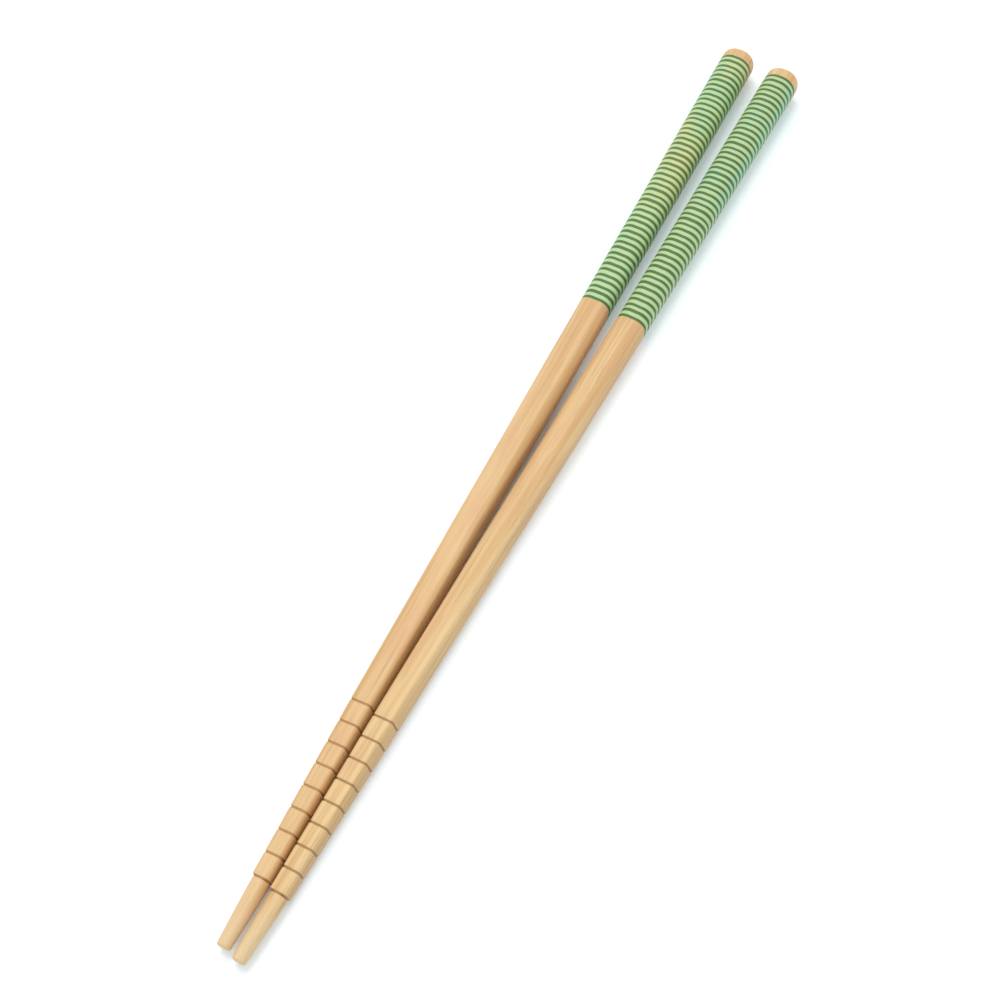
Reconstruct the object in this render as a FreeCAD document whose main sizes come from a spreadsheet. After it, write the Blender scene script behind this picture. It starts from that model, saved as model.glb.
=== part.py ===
import FreeCAD, Part
import math
import os
import Sketcher

# A pair of bamboo chopsticks lying side by side, heads towards +X and tips towards -X.
# Each stick is one piece of bamboo. It is nearly round at its head, tapers to a rounded square,
# and has a turned tip, a row of fine ring grooves above the tip and a domed head. The square
# front half is twisted a little against the head half, which lies on its own planed flat.
# The origin is on the surface that the pair lies on, under the middle of the pair.

document = FreeCAD.newDocument("chopsticks")
os.makedirs("parts", exist_ok=True)

# Driving sizes, in millimetres and degrees. A place is counted along the stick from its tip.
# A width is measured across two opposite flats, or across a round stretch.
# A flat is how wide each of the four flats is, and soft corners take the rest.
SIZES = [
    ("stick_length", 225.0),
    ("tip_bar_width", 4.0),
    ("tip_bar_flat", 0.8),
    ("tip_width", 2.7),
    ("tip_middle_width", 3.2),
    ("tip_rim_radius", 0.5),
    ("neck_width", 3.5),
    ("first_groove", 13.0),
    ("groove_pitch", 4.45),
    ("groove_count", 9),
    ("groove_width", 0.5),
    ("groove_depth", 0.17),
    ("front_width", 3.5),
    ("front_flat", 1.9),
    ("grip_width", 4.46),
    ("grip_flat", 2.9),
    ("middle_place", 90.0),
    ("middle_width", 5.1),
    ("middle_flat", 2.9),
    ("shank_place", 118.0),
    ("shank_width", 6.1),
    ("shank_flat", 1.8),
    ("head_width", 7.6),
    ("head_flat", 0.6),
    ("planing_depth", 0.02),
    ("front_twist", 12.0),
    ("dome_radius", 11.0),
    ("head_rim_radius", 1.8),
    ("spread_angle", 1.98),
    ("side_gap", 0.16),
    ("end_shift", 0.83),
]

sheet = document.addObject("Spreadsheet::Sheet", "sizes")
for row, (alias, value) in enumerate(SIZES, start=1):
    sheet.set("A%d" % row, alias)
    sheet.set("B%d" % row, str(value))
    sheet.setAlias("B%d" % row, alias)
document.recompute()


def size(alias):
    return float(sheet.get(alias))


def point(x, y):
    return FreeCAD.Vector(x, y, 0)


# The two ends of a curve and the centre of an arc, numbered from 1 as a sketch numbers them
START, END, CENTRE = range(1, 4)
# The sketch's own origin, which is on the stick's axis
AXIS = (-1, 1)

QUARTER_TURN = math.pi / 2
ONE_SIDE = FreeCAD.Vector(0, 0, 1)


def new_sketch(body, name, role):
    """A sketch on one of the stick's own planes: across it, or along it with x on its axis."""
    planes = [item for item in body.Origin.OriginFeatures if item.Role == role]
    sketch = body.newObject("Sketcher::SketchObject", body.Name + "_" + name)
    sketch.AttachmentSupport = (planes[0], [""])
    sketch.MapMode = "FlatFace"
    return sketch


def add_line(sketch, start, end):
    return sketch.addGeometry(Part.LineSegment(point(*start), point(*end)), False)


def add_arc(sketch, centre, radius, first_angle, last_angle):
    circle = Part.Circle(point(*centre), ONE_SIDE, radius)
    return sketch.addGeometry(Part.ArcOfCircle(circle, first_angle, last_angle), False)


def add_rule(sketch, kind, *where):
    return sketch.addConstraint(Sketcher.Constraint(kind, *where))


def add_size(sketch, expression, kind, *where):
    """Adds a dimension, drawn at its last value, and ties it to the sheet."""
    index = add_rule(sketch, kind, *where)
    sketch.setExpression("Constraints[%d]" % index, expression)


def draw_rounded_square(sketch, width, width_rule, flat_width, flat_rule):
    """A square with rounded corners, centred on the stick's axis."""
    half = width / 2
    flat = flat_width / 2
    radius = half - flat
    sides = [
        ((half, -flat), (half, flat), "Vertical", (flat, flat)),
        ((flat, half), (-flat, half), "Horizontal", (-flat, flat)),
        ((-half, flat), (-half, -flat), "Vertical", (-flat, -flat)),
        ((-flat, -half), (flat, -half), "Horizontal", (flat, -flat)),
    ]
    lines = []
    arcs = []
    for turn, (start, end, direction, centre) in enumerate(sides):
        lines.append(add_line(sketch, start, end))
        arcs.append(add_arc(sketch, centre, radius, turn * QUARTER_TURN, (turn + 1) * QUARTER_TURN))
        add_rule(sketch, direction, lines[turn])
    for turn in range(4):
        add_rule(sketch, "Tangent", lines[turn], END, arcs[turn], START)
        add_rule(sketch, "Tangent", arcs[turn], END, lines[(turn + 1) % 4], START)
    for turn in range(1, 4):
        add_rule(sketch, "Equal", arcs[0], arcs[turn])
    add_rule(sketch, "Equal", lines[0], lines[1])
    add_rule(sketch, "Symmetric", arcs[0], CENTRE, arcs[2], CENTRE, *AXIS)
    add_size(sketch, flat_rule, "DistanceY", lines[0], START, lines[0], END, flat_width)
    add_size(sketch, width_rule, "DistanceX", lines[2], START, lines[0], START, width)


def sketch_across(body, name, place, twist):
    """A sketch across the stick at a place along it, turned to the left by the twist."""
    sketch = new_sketch(body, name, "YZ_Plane")
    turned = FreeCAD.Rotation(FreeCAD.Vector(0, 0, -1), 1.0)
    sketch.AttachmentOffset = FreeCAD.Placement(FreeCAD.Vector(0, 0, 0), turned)
    sketch.setExpression("AttachmentOffset.Base.z", place)
    sketch.setExpression("AttachmentOffset.Rotation.Angle", twist)
    return sketch


def rounded_square(body, name, place, twist, width, flat_width):
    """A section across the planed stick, at a place along it."""
    sketch = sketch_across(body, name, place, twist)
    draw_rounded_square(sketch, size(width), "sizes." + width, size(flat_width), "sizes." + flat_width)
    return sketch


def tapered_blank(body):
    """The stick before its tip is turned: straight from each section to the next."""
    twist = "sizes.front_twist"
    bar_end = "sizes.first_groove - sizes.groove_width / 2"
    front = "sizes.first_groove + sizes.groove_width / 2"
    last_groove = "sizes.first_groove + (sizes.groove_count - 1) * sizes.groove_pitch"
    sections = [
        rounded_square(body, "end_section", "0", twist, "tip_bar_width", "tip_bar_flat"),
        rounded_square(body, "bar_section", bar_end, twist, "tip_bar_width", "tip_bar_flat"),
        rounded_square(body, "front_section", front, twist, "front_width", "front_flat"),
        rounded_square(body, "grip_section", last_groove, twist, "grip_width", "grip_flat"),
        rounded_square(body, "middle_section", "sizes.middle_place", twist, "middle_width", "middle_flat"),
        rounded_square(body, "shank_section", "sizes.shank_place", "0", "shank_width", "shank_flat"),
        rounded_square(body, "head_section", "sizes.stick_length", "0", "head_width", "head_flat"),
    ]
    blank = body.newObject("PartDesign::AdditiveLoft", body.Name + "_blank")
    blank.Profile = sections[0]
    blank.Sections = sections[1:]
    blank.Ruled = True
    return blank


def planed_flats(body):
    """Four true flats planed along the straight head half, on which a stick can lie."""
    sketch = new_sketch(body, "plane_profile", "XZ_Plane")
    shank = (size("shank_place"), size("shank_width") / 2 - size("planing_depth"))
    head = (size("stick_length"), size("head_width") / 2 - size("planing_depth"))
    slope = (head[1] - shank[1]) / (head[0] - shank[0])
    outside = size("head_width")
    first = (size("middle_place"), head[1] - slope * (head[0] - size("middle_place")))
    last = (head[0] + outside, head[1] + slope * outside)
    flat_line = add_line(sketch, first, last)
    end_line = add_line(sketch, last, (last[0], outside))
    outer_line = add_line(sketch, (last[0], outside), (first[0], outside))
    first_line = add_line(sketch, (first[0], outside), first)
    shank_point = sketch.addGeometry(Part.Point(point(*shank)), True)
    head_point = sketch.addGeometry(Part.Point(point(*head)), True)
    add_rule(sketch, "Coincident", flat_line, END, end_line, START)
    add_rule(sketch, "Coincident", end_line, END, outer_line, START)
    add_rule(sketch, "Coincident", outer_line, END, first_line, START)
    add_rule(sketch, "Coincident", first_line, END, flat_line, START)
    add_rule(sketch, "Vertical", end_line)
    add_rule(sketch, "Horizontal", outer_line)
    add_rule(sketch, "Vertical", first_line)
    add_rule(sketch, "PointOnObject", shank_point, START, flat_line)
    add_rule(sketch, "PointOnObject", head_point, START, flat_line)
    shank_height = "sizes.shank_width / 2 - sizes.planing_depth"
    head_height = "sizes.head_width / 2 - sizes.planing_depth"
    beyond = "sizes.stick_length + sizes.head_width"
    add_size(sketch, "sizes.shank_place", "DistanceX", *AXIS, shank_point, START, shank[0])
    add_size(sketch, shank_height, "DistanceY", *AXIS, shank_point, START, shank[1])
    add_size(sketch, "sizes.stick_length", "DistanceX", *AXIS, head_point, START, head[0])
    add_size(sketch, head_height, "DistanceY", *AXIS, head_point, START, head[1])
    add_size(sketch, "sizes.middle_place", "DistanceX", *AXIS, flat_line, START, first[0])
    add_size(sketch, beyond, "DistanceX", *AXIS, flat_line, END, last[0])
    add_size(sketch, "sizes.head_width", "DistanceY", *AXIS, end_line, END, outside)
    planed = body.newObject("PartDesign::Pocket", body.Name + "_planed_flat")
    planed.Profile = sketch
    planed.SideType = "Symmetric"
    planed.setExpression("Length", "2 * sizes.head_width")
    round_all = body.newObject("PartDesign::PolarPattern", body.Name + "_planed_flats")
    round_all.Originals = [planed]
    round_all.Axis = (sketch, ["H_Axis"])
    round_all.Angle = 360
    round_all.Occurrences = 4
    body.Tip = round_all
    return round_all


def turn_away(body, name, sketch):
    """Turns away what the sketch encloses, all round the stick's axis."""
    cut = body.newObject("PartDesign::Groove", body.Name + "_" + name)
    cut.Profile = sketch
    cut.ReferenceAxis = (sketch, ["H_Axis"])
    cut.Angle = 360
    return cut


def tip_profile(body):
    """Leaves a round, slightly bulging tip with a rounded rim, up to the first groove."""
    sketch = new_sketch(body, "tip_profile", "XZ_Plane")
    rim = size("tip_rim_radius")
    edge = size("tip_width") / 2
    middle = (size("first_groove") / 2, size("tip_middle_width") / 2)
    neck = (size("first_groove"), size("neck_width") / 2)
    outside = size("head_width")
    rim_arc = add_arc(sketch, (rim, edge - rim), rim, QUARTER_TURN, 2 * QUARTER_TURN)
    side_arc = sketch.addGeometry(Part.Arc(point(rim, edge), point(*middle), point(*neck)), False)
    neck_line = add_line(sketch, neck, (neck[0], outside))
    outer_line = add_line(sketch, (neck[0], outside), (0, outside))
    end_line = add_line(sketch, (0, outside), (0, edge - rim))
    bulge_point = sketch.addGeometry(Part.Point(point(*middle)), True)
    # sketch arcs run anticlockwise, so both arcs start at the end nearer the neck
    add_rule(sketch, "Coincident", rim_arc, START, side_arc, END)
    add_rule(sketch, "Coincident", side_arc, START, neck_line, START)
    add_rule(sketch, "Coincident", neck_line, END, outer_line, START)
    add_rule(sketch, "Coincident", outer_line, END, end_line, START)
    add_rule(sketch, "Tangent", end_line, END, rim_arc, END)
    add_rule(sketch, "Vertical", rim_arc, START, rim_arc, CENTRE)
    add_rule(sketch, "Vertical", neck_line)
    add_rule(sketch, "Horizontal", outer_line)
    add_rule(sketch, "PointOnObject", end_line, START, -2)
    add_rule(sketch, "PointOnObject", end_line, END, -2)
    add_rule(sketch, "PointOnObject", bulge_point, START, side_arc)
    add_size(sketch, "sizes.tip_rim_radius", "Radius", rim_arc, rim)
    add_size(sketch, "sizes.tip_width / 2", "DistanceY", *AXIS, rim_arc, START, edge)
    add_size(sketch, "sizes.first_groove", "DistanceX", *AXIS, neck_line, START, neck[0])
    add_size(sketch, "sizes.neck_width / 2", "DistanceY", *AXIS, neck_line, START, neck[1])
    add_size(sketch, "sizes.first_groove / 2", "DistanceX", *AXIS, bulge_point, START, middle[0])
    add_size(sketch, "sizes.tip_middle_width / 2", "DistanceY", *AXIS, bulge_point, START, middle[1])
    add_size(sketch, "sizes.head_width", "DistanceY", *AXIS, neck_line, END, outside)
    return sketch


def groove(body, index):
    """One ring groove, cut equally deep all round the section that the stick has there."""
    name = "groove_%d" % (index + 1)
    place = "sizes.first_groove + %d * sizes.groove_pitch" % index
    sketch = sketch_across(body, name + "_section", place, "sizes.front_twist")
    share = index / (size("groove_count") - 1)
    width = size("front_width") * (1 - share) + size("grip_width") * share - 2 * size("groove_depth")
    flat_width = size("front_flat") * (1 - share) + size("grip_flat") * share
    step = "%d / (sizes.groove_count - 1)" % index
    width_rule = "sizes.front_width + (sizes.grip_width - sizes.front_width) * %s" % step
    flat_rule = "sizes.front_flat + (sizes.grip_flat - sizes.front_flat) * %s" % step
    draw_rounded_square(sketch, width, width_rule + " - 2 * sizes.groove_depth", flat_width, flat_rule)
    outside = sketch.addGeometry(Part.Circle(point(0, 0), ONE_SIDE, size("head_width")), False)
    add_rule(sketch, "Coincident", outside, CENTRE, *AXIS)
    add_size(sketch, "sizes.head_width", "Radius", outside, size("head_width"))
    cut = body.newObject("PartDesign::Pocket", body.Name + "_" + name)
    cut.Profile = sketch
    cut.SideType = "Symmetric"
    cut.setExpression("Length", "sizes.groove_width")


def dome_profile(body):
    """Leaves the head's end as a shallow dome."""
    sketch = new_sketch(body, "dome_profile", "XZ_Plane")
    length = size("stick_length")
    radius = size("dome_radius")
    outside = size("head_width")
    beyond = length + outside
    reach = math.asin(outside / radius)
    dome = add_arc(sketch, (length - radius, 0), radius, 0, reach)
    axis_line = add_line(sketch, (length, 0), (beyond, 0))
    end_line = add_line(sketch, (beyond, 0), (beyond, outside))
    edge = (length - radius + radius * math.cos(reach), outside)
    outer_line = add_line(sketch, (beyond, outside), edge)
    add_rule(sketch, "Coincident", dome, START, axis_line, START)
    add_rule(sketch, "Coincident", axis_line, END, end_line, START)
    add_rule(sketch, "Coincident", end_line, END, outer_line, START)
    add_rule(sketch, "Coincident", outer_line, END, dome, END)
    add_rule(sketch, "PointOnObject", axis_line, START, -1)
    add_rule(sketch, "PointOnObject", axis_line, END, -1)
    add_rule(sketch, "PointOnObject", dome, CENTRE, -1)
    add_rule(sketch, "Vertical", end_line)
    add_rule(sketch, "Horizontal", outer_line)
    add_size(sketch, "sizes.dome_radius", "Radius", dome, radius)
    add_size(sketch, "sizes.stick_length", "DistanceX", *AXIS, axis_line, START, length)
    add_size(sketch, "sizes.stick_length + sizes.head_width", "DistanceX", *AXIS, axis_line, END, beyond)
    add_size(sketch, "sizes.head_width", "DistanceY", *AXIS, end_line, END, outside)
    return sketch


def round_head_rim(body, domed):
    """Rounds the edge between the dome and the stick's sides."""
    faces = domed.Shape.Faces
    dome = max(faces, key=lambda face: face.CenterOfMass.x)
    sides = [face for face in faces if not face.isSame(dome) and face.BoundBox.XMax > dome.BoundBox.XMin]
    side_edges = [edge for face in sides for edge in face.Edges]
    rim_edges = [edge for edge in dome.Edges if any(edge.isSame(other) for other in side_edges)]
    names = []
    for index, edge in enumerate(domed.Shape.Edges, start=1):
        if any(edge.isSame(other) for other in rim_edges):
            names.append("Edge%d" % index)
    rim = body.newObject("PartDesign::Fillet", body.Name + "_head_rim")
    rim.Base = (domed, names)
    rim.setExpression("Radius", "sizes.head_rim_radius")
    return rim


def chopstick(name):
    body = document.addObject("PartDesign::Body", name)
    body.Label = name
    tapered_blank(body)
    planed_flats(body)
    turn_away(body, "tip", tip_profile(body))
    for index in range(int(size("groove_count"))):
        groove(body, index)
    domed = turn_away(body, "dome", dome_profile(body))
    document.recompute()
    round_head_rim(body, domed)
    document.recompute()
    return body


def lay(body, side, tip_spacing):
    """Lays a stick on its straight head half. side is 1 for the left stick and -1 for the right."""
    head_reach = size("head_width") / 2 - size("planing_depth")
    shank_reach = size("shank_width") / 2 - size("planing_depth")
    run = size("stick_length") - size("shank_place")
    rise = math.atan2(head_reach - shank_reach, run)
    tip_height = (head_reach - math.tan(rise) * size("stick_length")) * math.cos(rise)
    raised = FreeCAD.Rotation(FreeCAD.Vector(0, 1, 0), -math.degrees(rise))
    turned = FreeCAD.Rotation(FreeCAD.Vector(0, 0, 1), side * size("spread_angle") / 2)
    middle = size("stick_length") / 2
    start = FreeCAD.Vector(side * size("end_shift") / 2 - middle, side * tip_spacing / 2, tip_height)
    body.Placement = FreeCAD.Placement(start, turned.multiply(raised))


left = chopstick("left_chopstick")
right = chopstick("right_chopstick")


def breadth(width, flat_width, twist):
    """How broad a rounded square is, from side to side, when it is turned."""
    turned = math.radians(twist)
    return size(width) + size(flat_width) * (math.cos(turned) + math.sin(turned) - 1)


# The tips stand apart by what leaves the gap where the two sticks come nearest
spread = math.radians(size("spread_angle"))
front_twist = size("front_twist")
last_groove_place = size("first_groove") + (size("groove_count") - 1) * size("groove_pitch")
stations = [
    (size("first_groove"), size("neck_width")),
    (size("first_groove"), breadth("front_width", "front_flat", front_twist)),
    (last_groove_place, breadth("grip_width", "grip_flat", front_twist)),
    (size("middle_place"), breadth("middle_width", "middle_flat", front_twist)),
    (size("shank_place"), size("shank_width")),
    (size("stick_length"), size("head_width")),
]
tip_spacing = max(broad + size("side_gap") - place * spread for place, broad in stations)
lay(left, 1, tip_spacing)
lay(right, -1, tip_spacing)
document.recompute()

for item in document.Objects:
    if "Invalid" in item.State or "Error" in item.State:
        raise RuntimeError(item.Label + " failed: " + str(item.State))

for body in (left, right):
    shape = body.Shape
    if shape.isNull() or not shape.isValid() or len(shape.Solids) != 1:
        raise RuntimeError(body.Label + " is not one valid solid")
    shape.exportStep("parts/" + body.Label + ".step")
    print(body.Label, "volume", round(shape.Volume, 2), "box", shape.BoundBox)
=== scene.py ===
import math

import bmesh
import bpy
from mathutils import Matrix, Quaternion, Vector


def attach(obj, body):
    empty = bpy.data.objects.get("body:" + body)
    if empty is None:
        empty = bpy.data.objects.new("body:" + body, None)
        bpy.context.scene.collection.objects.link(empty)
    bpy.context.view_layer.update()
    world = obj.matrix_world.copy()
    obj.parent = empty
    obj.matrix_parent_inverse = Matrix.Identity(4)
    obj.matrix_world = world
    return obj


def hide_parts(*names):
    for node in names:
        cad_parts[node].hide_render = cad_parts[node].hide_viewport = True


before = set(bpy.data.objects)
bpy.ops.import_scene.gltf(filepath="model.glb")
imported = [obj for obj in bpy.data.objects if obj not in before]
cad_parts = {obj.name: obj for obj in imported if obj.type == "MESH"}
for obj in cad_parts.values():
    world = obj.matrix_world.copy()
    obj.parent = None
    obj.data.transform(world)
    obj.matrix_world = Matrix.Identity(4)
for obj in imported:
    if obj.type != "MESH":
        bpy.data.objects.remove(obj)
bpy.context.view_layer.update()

# The stick's form
# A chopstick is split from a bamboo culm and planed to a long taper, square with soft corners.
# It is modelled once, straight along X from its tip, as one skin drawn out from section to section.

# All sizes are in millimetres and degrees, and a place is counted along the stick from its tip
MM = 0.001
LENGTH = 225.0
# The width across two flats at the two ends of the straight head half
SHANK_WIDTH = 6.06
HEAD_WIDTH = 7.56
# The sides of the skin, all round
AROUND = 48

# The front half is twisted against the head half, and the twist runs out between these places
FRONT_TWIST = 12.0
TWIST_START = 90.0
TWIST_END = 118.0
TWIST_STEPS = 10

# The grooves, of which the first ends the turned tip and the last ends the row
FIRST_GROOVE = 13.0
GROOVE_PITCH = 4.45
GROOVE_COUNT = 9
LAST_GROOVE = FIRST_GROOVE + (GROOVE_COUNT - 1) * GROOVE_PITCH

# The planed stick: place, width across two opposite flats, and width of each flat
STATIONS = [
    (0.0, 3.50, 1.90),
    (FIRST_GROOVE, 3.50, 1.90),
    (LAST_GROOVE, 4.46, 2.90),
    (TWIST_START, 5.10, 2.90),
    (TWIST_END, SHANK_WIDTH, 1.90),
    (LENGTH, HEAD_WIDTH, 0.70),
]


def section(place):
    """The corner radius and half the flat at a place along the planed stick."""
    for (start, wide, flat), (end, next_wide, next_flat) in zip(STATIONS, STATIONS[1:]):
        if place <= end:
            break
    share = (place - start) / (end - start)
    half_flat = (flat + (next_flat - flat) * share) / 2
    half_width = (wide + (next_wide - wide) * share) / 2
    return half_width - half_flat, half_flat


# The turned tip: a plain round end with its rim eased, swelling a little before the first groove
TIP_END_RADIUS = 1.35
TIP_RIM = 0.5
TIP_MIDDLE_RADIUS = 1.6
NECK_RADIUS = 1.75
# The rings across its flat end
END_RING_RADII = (0.3, 0.7, TIP_END_RADIUS - TIP_RIM)


def tip_radius(place):
    """The tip's radius: a shallow bow through its end, its middle and its neck."""
    share = (place - TIP_RIM) / (FIRST_GROOVE - TIP_RIM)
    straight = TIP_END_RADIUS + (NECK_RADIUS - TIP_END_RADIUS) * share
    bow = TIP_MIDDLE_RADIUS - (TIP_END_RADIUS + NECK_RADIUS) / 2
    return straight + 4 * bow * share * (1 - share)


# Each ring of the skin is its place, the radius of its corners and half of its flats
rings = [(0.0, radius, 0.0) for radius in END_RING_RADII[1:]]
for turn in (18, 36, 54, 72, 90):
    angle = math.radians(turn)
    rings.append((TIP_RIM * (1 - math.cos(angle)), TIP_END_RADIUS - TIP_RIM * (1 - math.sin(angle)), 0.0))
for place in (1.5, 3.0, 4.5, 6.0, 7.5, 9.0, 10.5, 11.7):
    rings.append((place, tip_radius(place), 0.0))

# The grooves: thin, shallow notches sawn to one depth all round, with their lips eased.
# Each point is its distance from the groove's middle and its depth below the stick's surface.
GROOVE_PROFILE = [
    (-0.34, 0.0), (-0.25, 0.02), (-0.20, 0.06), (-0.12, 0.13), (-0.02, 0.17),
    (0.12, 0.17), (0.18, 0.15), (0.215, 0.06), (0.25, 0.015), (0.32, 0.0),
]
for index in range(GROOVE_COUNT):
    groove = FIRST_GROOVE + index * GROOVE_PITCH
    for offset, depth in GROOVE_PROFILE:
        radius, half_flat = section(groove + offset)
        if index == 0 and offset < 0:
            rings.append((groove + offset, tip_radius(groove + offset) - depth, 0.0))
        else:
            rings.append((groove + offset, radius - depth, half_flat))
    if index < GROOVE_COUNT - 1:
        for share in (0.3, 0.5, 0.7):
            place = groove + share * GROOVE_PITCH
            rings.append((place, *section(place)))

# The head: its end is sanded to a shallow dome, and its rim is well rounded
HEAD_HALF = HEAD_WIDTH / 2
RIM_RADIUS = 1.8
RIM_STEPS = 6
DOME_RADIUS = 11.0
DOME_RINGS = (2.2, 1.5, 0.8, 0.25)
dome_centre = LENGTH - DOME_RADIUS
rim_middle = HEAD_HALF - RIM_RADIUS
rim_place = dome_centre + math.sqrt((DOME_RADIUS - RIM_RADIUS) ** 2 - rim_middle ** 2)

# The planed length runs from the last groove to the head's rim
PLANED_START = 51.0
PLANED_STEP = 3.0
place = PLANED_START
while place < rim_place - PLANED_STEP / 2:
    rings.append((place, *section(place)))
    place += PLANED_STEP

head_radius, head_flat = section(rim_place)
dome_angle = math.asin(rim_middle / (DOME_RADIUS - RIM_RADIUS))
profile = []
for step in range(RIM_STEPS + 1):
    angle = math.pi / 2 - step / RIM_STEPS * (math.pi / 2 - dome_angle)
    profile.append((rim_place + RIM_RADIUS * math.cos(angle), rim_middle + RIM_RADIUS * math.sin(angle)))
for reach in DOME_RINGS:
    profile.append((dome_centre + math.sqrt(DOME_RADIUS ** 2 - reach ** 2), reach))
for place, reach in profile:
    share = reach / HEAD_HALF
    rings.append((place, head_radius * share, head_flat * share))


def select_ring(mesh, side_y=0, side_z=0):
    """Selects the ring that was drawn out last, or only its corner on one side of Y and of Z."""
    skin = bmesh.from_edit_mesh(mesh)
    for face in skin.faces:
        face.select = False
    for vertex in skin.verts:
        vertex.select = False
    for vertex in list(skin.verts)[-AROUND:]:
        on_side_y = side_y == 0 or vertex.co.y * side_y > 0
        on_side_z = side_z == 0 or vertex.co.z * side_z > 0
        vertex.select = on_side_y and on_side_z
    skin.select_flush_mode()
    bmesh.update_edit_mesh(mesh)


# The skin starts as a small disc at the tip, with one of its sides towards each flat.
# Each ring is drawn out and resized, and its four corners are moved apart by the flats between them.
# A move smaller than this, in metres, is rounding and is left out.
LEAST_MOVE = 1e-8
bpy.ops.object.select_all(action="DESELECT")
radius, half_flat, last_place = END_RING_RADII[0], 0.0, 0.0
bpy.ops.mesh.primitive_circle_add(
    vertices=AROUND, radius=radius * MM / math.cos(math.pi / AROUND), fill_type="NGON"
)
stick = bpy.context.object
stick.rotation_euler = (0, 0, math.pi / AROUND)
bpy.ops.object.transform_apply(location=True, rotation=True, scale=True)
stick.rotation_euler = (0, math.pi / 2, 0)
bpy.ops.object.transform_apply(location=True, rotation=True, scale=True)
bpy.ops.object.mode_set(mode="EDIT")
bpy.ops.mesh.select_mode(type="VERT")
bpy.ops.mesh.select_all(action="SELECT")
for place, new_radius, new_half_flat in rings:
    bpy.ops.mesh.extrude_region_move(TRANSFORM_OT_translate={"value": ((place - last_place) * MM, 0, 0)})
    growth = new_radius / radius
    bpy.ops.transform.resize(value=(1, growth, growth), center_override=(place * MM, 0, 0))
    apart = (new_half_flat - half_flat * growth) * MM
    if abs(apart) > LEAST_MOVE:
        for side_y, side_z in ((1, 1), (-1, 1), (-1, -1), (1, -1)):
            select_ring(stick.data, side_y, side_z)
            bpy.ops.transform.translate(value=(0, side_y * apart, side_z * apart))
        select_ring(stick.data)
    last_place, radius, half_flat = place, new_radius, new_half_flat
bpy.ops.mesh.select_all(action="SELECT")
bpy.ops.mesh.normals_make_consistent(inside=False)
bpy.ops.object.mode_set(mode="OBJECT")
bpy.ops.object.shade_smooth_by_angle(angle=math.radians(40))

# Where each point lies on the straight stick, in millimetres, so that grain and print follow the stick
places = stick.data.attributes.new("place_on_stick", "FLOAT_VECTOR", "POINT")
for vertex, kept in zip(stick.data.vertices, places.data):
    kept.vector = vertex.co / MM

# The twist: what lies beyond each step along the twisted stretch is turned a little further
step_turn = math.radians(-FRONT_TWIST / TWIST_STEPS)
bpy.ops.object.mode_set(mode="EDIT")
for step in range(TWIST_STEPS):
    reached = TWIST_START + (TWIST_END - TWIST_START) * step / TWIST_STEPS
    skin = bmesh.from_edit_mesh(stick.data)
    for vertex in skin.verts:
        vertex.select = vertex.co.x > reached * MM
    skin.select_flush_mode()
    bmesh.update_edit_mesh(stick.data)
    bpy.ops.transform.rotate(value=step_turn, orient_axis="X", center_override=(0, 0, 0))
bpy.ops.mesh.select_all(action="SELECT")
bpy.ops.object.mode_set(mode="OBJECT")


# The bamboo and its print
# The sticks are bare, sanded bamboo, pale straw with fine darker fibres along it and a soft sheen.
# Green rings are printed round the head third in two greens, thin and a little uneven.

# The print's rings, the range along the stick within which one may stray, and its waves per millimetre
RING_FIRST = 147.45
RING_PITCH = 1.568
RING_COUNT = 48
RING_WANDER = 0.35
WANDER_WAVES = 0.45
# The green ground reaches this far past the middles of the outer rings, and its edge is this soft
GROUND_MARGIN = 0.22 * RING_PITCH
GROUND_EDGE = 0.16
# How much of the wood the ink hides, and where the second tint of each green sets in
INK_COVER = 0.94
TINT_START = 163.0
TINT_END = 193.0

# The side away from the lamp is painted in shade, browner over this width across the stick, and the
# painted shade fades out over this length along it
SHADE_SIDE_EDGE = 0.7
SHADE_SIDE_FADE = 50.0

# How close the fibre bundles lie where they are cut across, and how deep each cut end reaches
BUNDLE_SPACING = 0.69
CUT_AT_TIP = 0.15
CUT_AT_HEAD = 0.8

# How far from its middle a groove's painted shade fades, and how many pitches the row reaches past it
GROOVE_SHADE = (0.13, 0.28)
ROW_MARGIN = 0.45


def linear(colour):
    """An sRGB hex colour as the linear colour that a socket takes."""
    parts = [int(colour[index:index + 2], 16) / 255 for index in (1, 3, 5)]
    return (*[part / 12.92 if part <= 0.04045 else ((part + 0.055) / 1.055) ** 2.4 for part in parts], 1.0)


def add_node(tree, kind, inputs=None, **settings):
    """Adds a node with its settings, and sets or links its inputs."""
    made = tree.nodes.new(kind)
    for name, value in settings.items():
        setattr(made, name, value)
    for name, value in (inputs or {}).items():
        if isinstance(value, bpy.types.NodeSocket):
            tree.links.new(value, made.inputs[name])
        else:
            made.inputs[name].default_value = value
    return made


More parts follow.
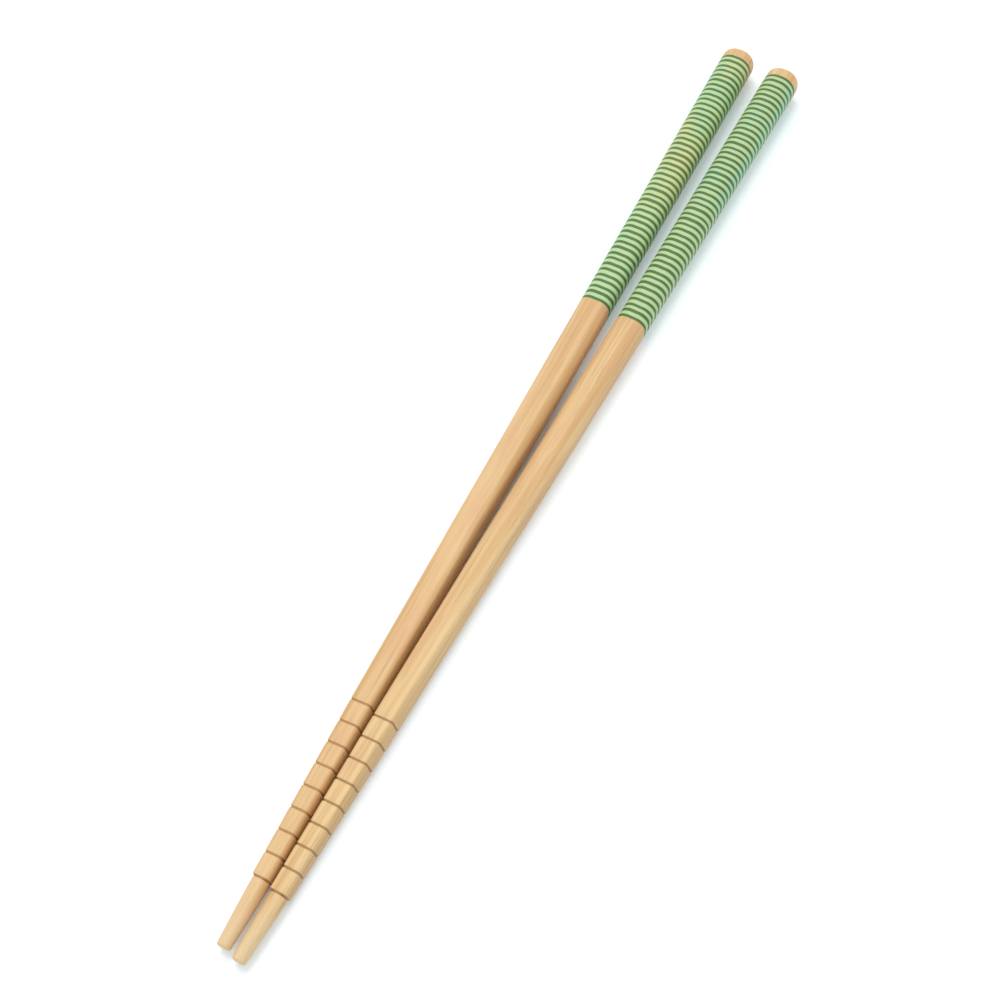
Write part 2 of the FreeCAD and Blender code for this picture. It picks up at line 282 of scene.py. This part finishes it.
def printed_bamboo(
        name, shift, shade_side, shade_side_end, straw, honey, fibre, brown, pale, groove_shade, dark_inks, light_inks):
    """Sanded bamboo with the ring print.

    shift moves the grain. The next two say where across the stick the painted shade on the side away from
    the lamp starts, and where along the stick it has faded. Then come the colours of the wood and of its
    painted shade, and two tints of each ink.
    """
    material = bpy.data.materials.new(name)
    material.use_nodes = True
    tree = material.node_tree
    shader = tree.nodes["Principled BSDF"]
    on_stick = add_node(tree, "ShaderNodeAttribute", attribute_name="place_on_stick").outputs["Vector"]
    axes = add_node(tree, "ShaderNodeSeparateXYZ", {"Vector": on_stick})
    along = axes.outputs["X"]

    def grain(along_stick, across, detail=2.0, roughness=0.5, move=0.0):
        """A random pattern whose grains are so many millimetres along the stick and across it."""
        placed = add_node(tree, "ShaderNodeMapping", {
            "Vector": on_stick,
            "Location": (shift + move, shift - move, move),
            "Scale": (1 / along_stick, 1 / across, 1 / across),
        }).outputs["Vector"]
        return add_node(tree, "ShaderNodeTexNoise", {
            "Vector": placed, "Scale": 1.0, "Detail": detail, "Roughness": roughness,
        }).outputs["Fac"]

    def coat(below, above, value, low, high, cover_low=0.0, cover_high=1.0, within=1.0):
        """Lays a colour over another. Its cover changes softly as the value goes from low to high."""
        cover = add_node(tree, "ShaderNodeMapRange", {
            "Value": value, "From Min": low, "From Max": high, "To Min": cover_low, "To Max": cover_high,
        }, interpolation_type="SMOOTHSTEP").outputs["Result"]
        kept = add_node(tree, "ShaderNodeMath", {0: cover, 1: within}, operation="MULTIPLY").outputs[0]
        return add_node(tree, "ShaderNodeMix", {0: kept, 6: below, 7: above}, data_type="RGBA").outputs[2]

    def stretch(value, start, end, start_edge, end_edge):
        """A mask that is 1 between two values and 0 elsewhere, with soft edges of the widths given."""
        passed = []
        for middle, edge in ((start, start_edge), (end, end_edge)):
            passed.append(add_node(tree, "ShaderNodeMapRange", {
                "Value": value, "From Min": middle - edge / 2, "From Max": middle + edge / 2,
            }, interpolation_type="SMOOTHSTEP").outputs["Result"])
        inputs = {0: passed[0], 1: passed[1]}
        return add_node(tree, "ShaderNodeMath", inputs, operation="SUBTRACT").outputs[0]

    # fibre bundles about 0.3 mm thick run along the stick, in broader pale and honey streaks
    wood = coat(linear(straw), linear(honey), grain(70.0, 1.3, detail=3.0), 0.35, 0.65)
    bundles = grain(38.0, 0.28, detail=3.0, roughness=0.6, move=3.0)
    wood = coat(wood, linear(fibre), bundles, 0.52, 0.74, cover_high=0.55)
    dashes = grain(9.0, 0.16, detail=1.0, move=9.0)
    wood = coat(wood, linear(fibre), dashes, 0.64, 0.74, cover_high=0.5)

    # painted shade: the side away from the lamp is browner over the front half
    front = add_node(tree, "ShaderNodeMapRange", {
        "Value": along, "From Min": shade_side_end - SHADE_SIDE_FADE, "From Max": shade_side_end,
        "To Min": 1.0, "To Max": 0.0,
    }, interpolation_type="SMOOTHSTEP").outputs["Result"]
    wood = coat(wood, linear(brown), axes.outputs["Y"], shade_side - SHADE_SIDE_EDGE / 2, shade_side + SHADE_SIDE_EDGE / 2,
                cover_low=0.4, cover_high=0.0, within=front)

    # a faint rosy cast lies over the wood in long patches
    rosy = grain(16.0, 3.5, detail=1.0, move=31.0)
    wood = coat(wood, linear("#DFA97B"), rosy, 0.48, 0.66, cover_high=0.35)

    # the turned tip gets paler towards its end
    wood = coat(wood, linear(pale), along, 2.0, FIRST_GROOVE + 1.0, cover_low=0.5, cover_high=0.0)

    # across the cut ends the fibre bundles show as fine brown dots
    across = add_node(tree, "ShaderNodeMapping", {"Vector": on_stick, "Scale": (0, 1, 1)})
    dots = add_node(tree, "ShaderNodeTexVoronoi", {
        "Vector": across.outputs["Vector"], "Scale": 1 / BUNDLE_SPACING,
    }).outputs["Distance"]
    between_ends = stretch(along, CUT_AT_TIP, LENGTH - CUT_AT_HEAD, 0.2, 0.6)
    at_ends = add_node(tree, "ShaderNodeMath", {0: 1.0, 1: between_ends}, operation="SUBTRACT").outputs[0]
    wood = coat(wood, linear(fibre), dots, 0.16, 0.36, cover_low=0.5, cover_high=0.0, within=at_ends)

    # painted shade: the grooves' floors are coloured browner than the planed surface
    number = add_node(tree, "ShaderNodeMapRange", {
        "Value": along, "From Min": FIRST_GROOVE, "From Max": FIRST_GROOVE + GROOVE_PITCH,
    }, clamp=False).outputs["Result"]
    off_groove = add_node(tree, "ShaderNodeMath", {0: number, 1: 0.5}, operation="PINGPONG").outputs[0]
    in_row = stretch(number, -ROW_MARGIN, GROOVE_COUNT - 1 + ROW_MARGIN, 0.1, 0.1)
    groove_shade_start, groove_shade_end = (place / GROOVE_PITCH for place in GROOVE_SHADE)
    wood = coat(wood, linear(groove_shade), off_groove, groove_shade_start, groove_shade_end,
                cover_low=0.7, cover_high=0.0, within=in_row)

    # the print: a light green ground with dark rings over it, both in two tints beyond its start
    tinted = add_node(tree, "ShaderNodeMapRange", {
        "Value": along, "From Min": TINT_START, "From Max": TINT_END, "To Min": 0.15, "To Max": 1.0,
    }, interpolation_type="SMOOTHSTEP").outputs["Result"]
    patches = grain(20.0, 6.0, move=21.0)
    dark, light = (
        coat(linear(first), linear(second), patches, 0.42, 0.64, within=tinted)
        for first, second in (dark_inks, light_inks)
    )

    # the rings stray a little from their places, in waves about 2 mm long
    waves = add_node(tree, "ShaderNodeMath", {0: along, 1: WANDER_WAVES, 2: 0.5}, operation="MULTIPLY_ADD")
    uneven = add_node(tree, "ShaderNodeTexNoise", {
        "W": waves.outputs[0], "Scale": 1.0, "Detail": 1.0,
    }, noise_dimensions="1D").outputs["Fac"]
    wander = add_node(tree, "ShaderNodeMapRange", {
        "Value": uneven, "To Min": -RING_WANDER / 2, "To Max": RING_WANDER / 2,
    }, clamp=False).outputs["Result"]
    strayed = add_node(tree, "ShaderNodeMath", {0: along, 1: wander}, operation="ADD").outputs[0]
    phase = add_node(tree, "ShaderNodeMapRange", {
        "Value": strayed, "From Min": RING_FIRST, "From Max": RING_FIRST + RING_PITCH,
        "To Max": 2 * math.pi,
    }, clamp=False).outputs["Result"]
    wave = add_node(tree, "ShaderNodeMath", {0: phase}, operation="COSINE").outputs[0]
    ink = coat(light, dark, wave, -0.30, 0.42)
    ground_start = RING_FIRST - GROUND_MARGIN
    ground_end = RING_FIRST + (RING_COUNT - 1) * RING_PITCH + GROUND_MARGIN
    printed = stretch(along, ground_start, ground_end, GROUND_EDGE, GROUND_EDGE)
    cover = add_node(tree, "ShaderNodeMath", {0: printed, 1: INK_COVER}, operation="MULTIPLY").outputs[0]
    colour = add_node(tree, "ShaderNodeMix", {0: cover, 6: wood, 7: ink}, data_type="RGBA").outputs[2]

    # sanded fibres stand a few hundredths of a millimetre proud
    height = add_node(tree, "ShaderNodeBump", {
        "Height": grain(20.0, 0.22, detail=3.0, move=5.0), "Strength": 0.5, "Distance": 0.04 * MM,
    })
    tree.links.new(colour, shader.inputs["Base Color"])
    tree.links.new(height.outputs["Normal"], shader.inputs["Normal"])
    shader.inputs["Roughness"].default_value = 0.5
    shader.inputs["IOR"].default_value = 1.5
    shader.inputs["Specular IOR Level"].default_value = 0.4
    return material


# The pair
# Two equal sticks lie side by side on their head halves, with their tips just off the table.
# They nearly touch above the tips and spread towards the heads. The right one is shifted back.

SPREAD = 1.98
TIPS_APART = 3.5642
END_SHIFT = 0.83

# The straight head half tapers towards the tip, so a stick that lies on it has its tip raised
rise = math.atan2((HEAD_WIDTH - SHANK_WIDTH) / 2, LENGTH - TWIST_END)
tip_height = (HEAD_HALF - math.tan(rise) * LENGTH) * math.cos(rise)


def lay(stick, side):
    """Lays a stick beside the other, on the left for side 1 and on the right for side -1."""
    start = Vector((side * END_SHIFT / 2 - LENGTH / 2, side * TIPS_APART / 2, tip_height)) * MM
    turned = Matrix.Rotation(math.radians(side * SPREAD / 2), 4, "Z")
    raised = Matrix.Rotation(-rise, 4, "Y")
    rolled = Matrix.Rotation(math.radians(-FRONT_TWIST), 4, "X")
    stick.matrix_world = Matrix.Translation(start) @ turned @ raised @ rolled
    bpy.ops.object.select_all(action="DESELECT")
    stick.select_set(True)
    bpy.context.view_layer.objects.active = stick
    bpy.ops.object.transform_apply(location=True, rotation=True, scale=True)


right_stick = stick.copy()
right_stick.data = stick.data.copy()
bpy.context.collection.objects.link(right_stick)
stick.name = "left_bamboo_stick"
right_stick.name = "right_bamboo_stick"
lay(stick, 1)
lay(right_stick, -1)

stick.data.materials.append(printed_bamboo(
    "sanded_bamboo_warm", shift=0.0, shade_side=-1.8, shade_side_end=95.0,
    straw="#E9C38F", honey="#DAAD75", fibre="#BA8B53", brown="#C89250", pale="#EFD8AE", groove_shade="#9F6E3C",
    dark_inks=("#35692F", "#566E2C"), light_inks=("#B3DA9F", "#CDD896"),
))
right_stick.data.materials.append(printed_bamboo(
    "sanded_bamboo_pale", shift=40.0, shade_side=-1.7, shade_side_end=80.0,
    straw="#EBC892", honey="#DAB078", fibre="#B3844B", brown="#C0965A", pale="#EED9B0", groove_shade="#8E5F30",
    dark_inks=("#32682E", "#256C40"), light_inks=("#B8D59B", "#A4D8AA"),
))
for piece, node in ((stick, "left_chopstick"), (right_stick, "right_chopstick")):
    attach(piece, "root")
    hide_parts(node)


# The table
# A flat sheet of plain matt card, which the camera sees as white and which keeps the sticks' soft shadow.
# The lift to white is left out in the narrow gap between the two front halves, which stays dark.

LIFT = 0.22
# The lift comes back softly between these two places to each side, towards the heads and the tips
GAP_SIDE = (2.5, 4.5)
GAP_TO_HEADS = (0.0, 45.0)
GAP_TO_TIPS = (-96.0, -102.0)


def seen_by_camera(tree):
    """1 for what the camera sees directly, in a mirror or through glass, and 0 for other light."""
    rays = add_node(tree, "ShaderNodeLightPath").outputs
    seen = rays["Is Camera Ray"]
    for kind in ("Is Glossy Ray", "Is Transmission Ray"):
        seen = add_node(tree, "ShaderNodeMath", {0: seen, 1: rays[kind]}, operation="MAXIMUM").outputs[0]
    return seen


bpy.ops.object.select_all(action="DESELECT")
bpy.ops.mesh.primitive_plane_add(size=6.0, location=(0, 0, -0.02 * MM))
table = bpy.context.object
table.name = "table"
card = bpy.data.materials.new("matt_white_card")
card.use_nodes = True
tree = card.node_tree
tree.nodes.remove(tree.nodes["Principled BSDF"])
paper = add_node(tree, "ShaderNodeBsdfDiffuse", {"Color": linear("#F0F5F8")})
on_table = add_node(tree, "ShaderNodeTexCoord").outputs["Object"]
axes = add_node(tree, "ShaderNodeSeparateXYZ", {"Vector": on_table})
off_middle = add_node(tree, "ShaderNodeMath", {0: axes.outputs["Y"]}, operation="ABSOLUTE").outputs[0]
outside = 0.0
for place, (start, end) in (
    (off_middle, GAP_SIDE), (axes.outputs["X"], GAP_TO_HEADS), (axes.outputs["X"], GAP_TO_TIPS),
):
    beyond = add_node(tree, "ShaderNodeMapRange", {
        "Value": place, "From Min": start * MM, "From Max": end * MM,
    }, interpolation_type="SMOOTHSTEP").outputs["Result"]
    outside = add_node(tree, "ShaderNodeMath", {0: beyond, 1: outside}, operation="MAXIMUM").outputs[0]
lifted = add_node(tree, "ShaderNodeMath", {0: outside, 1: LIFT}, operation="MULTIPLY").outputs[0]
lift = add_node(tree, "ShaderNodeEmission", {
    "Color": linear("#F2FBFF"),
    "Strength": add_node(tree, "ShaderNodeMath", {0: seen_by_camera(tree), 1: lifted},
                         operation="MULTIPLY").outputs[0],
})
both = add_node(tree, "ShaderNodeAddShader", {0: paper.outputs[0], 1: lift.outputs[0]})
tree.links.new(both.outputs[0], tree.nodes["Material Output"].inputs["Surface"])
table.data.materials.append(card)


# The light
# One large soft lamp from the far left and above, and an even white room round it.

TO_LAMP = Vector((0.30, 0.28, 0.91))
ROOM_LIGHT = 0.74
ROOM_SEEN = 1.1
bpy.ops.object.light_add(type="SUN")
lamp = bpy.context.object
lamp.name = "soft_lamp"
lamp.data.energy = 1.15
lamp.data.angle = math.radians(30)
lamp.data.color = (1.0, 0.985, 0.96)
lamp.rotation_mode = "QUATERNION"
lamp.rotation_quaternion = TO_LAMP.to_track_quat("Z", "Y")

room = bpy.data.worlds.new("white_room")
bpy.context.scene.world = room
room.use_nodes = True
tree = room.node_tree
background = tree.nodes["Background"]
background.inputs["Color"].default_value = (0.95, 0.98, 1.0, 1)
strength = add_node(tree, "ShaderNodeMapRange", {
    "Value": seen_by_camera(tree), "To Min": ROOM_LIGHT, "To Max": ROOM_SEEN,
})
tree.links.new(strength.outputs["Result"], background.inputs["Strength"])


# The camera, at the photo's angle
# It looks down on the sticks from beyond their tips, and is almost level from side to side.

TARGET = Vector((-12.68, 1.34, 0.0)) * MM
TO_CAMERA = Vector((-0.4151, -0.2301, 0.8802))
DISTANCE = 310.3 * MM
SIDE_TILT = -1.084
bpy.ops.object.camera_add()
camera = bpy.context.object
camera.name = "camera"
camera.location = TARGET + TO_CAMERA * DISTANCE
camera.rotation_mode = "QUATERNION"
camera.rotation_quaternion = (
    TO_CAMERA.to_track_quat("Z", "Y") @ Quaternion((0, 0, 1), math.radians(SIDE_TILT))
)
camera.data.sensor_width = 36.0
camera.data.lens = 56.56
camera.data.clip_start = 0.01
bpy.context.scene.camera = camera
bpy.context.scene.view_settings.view_transform = "Standard"
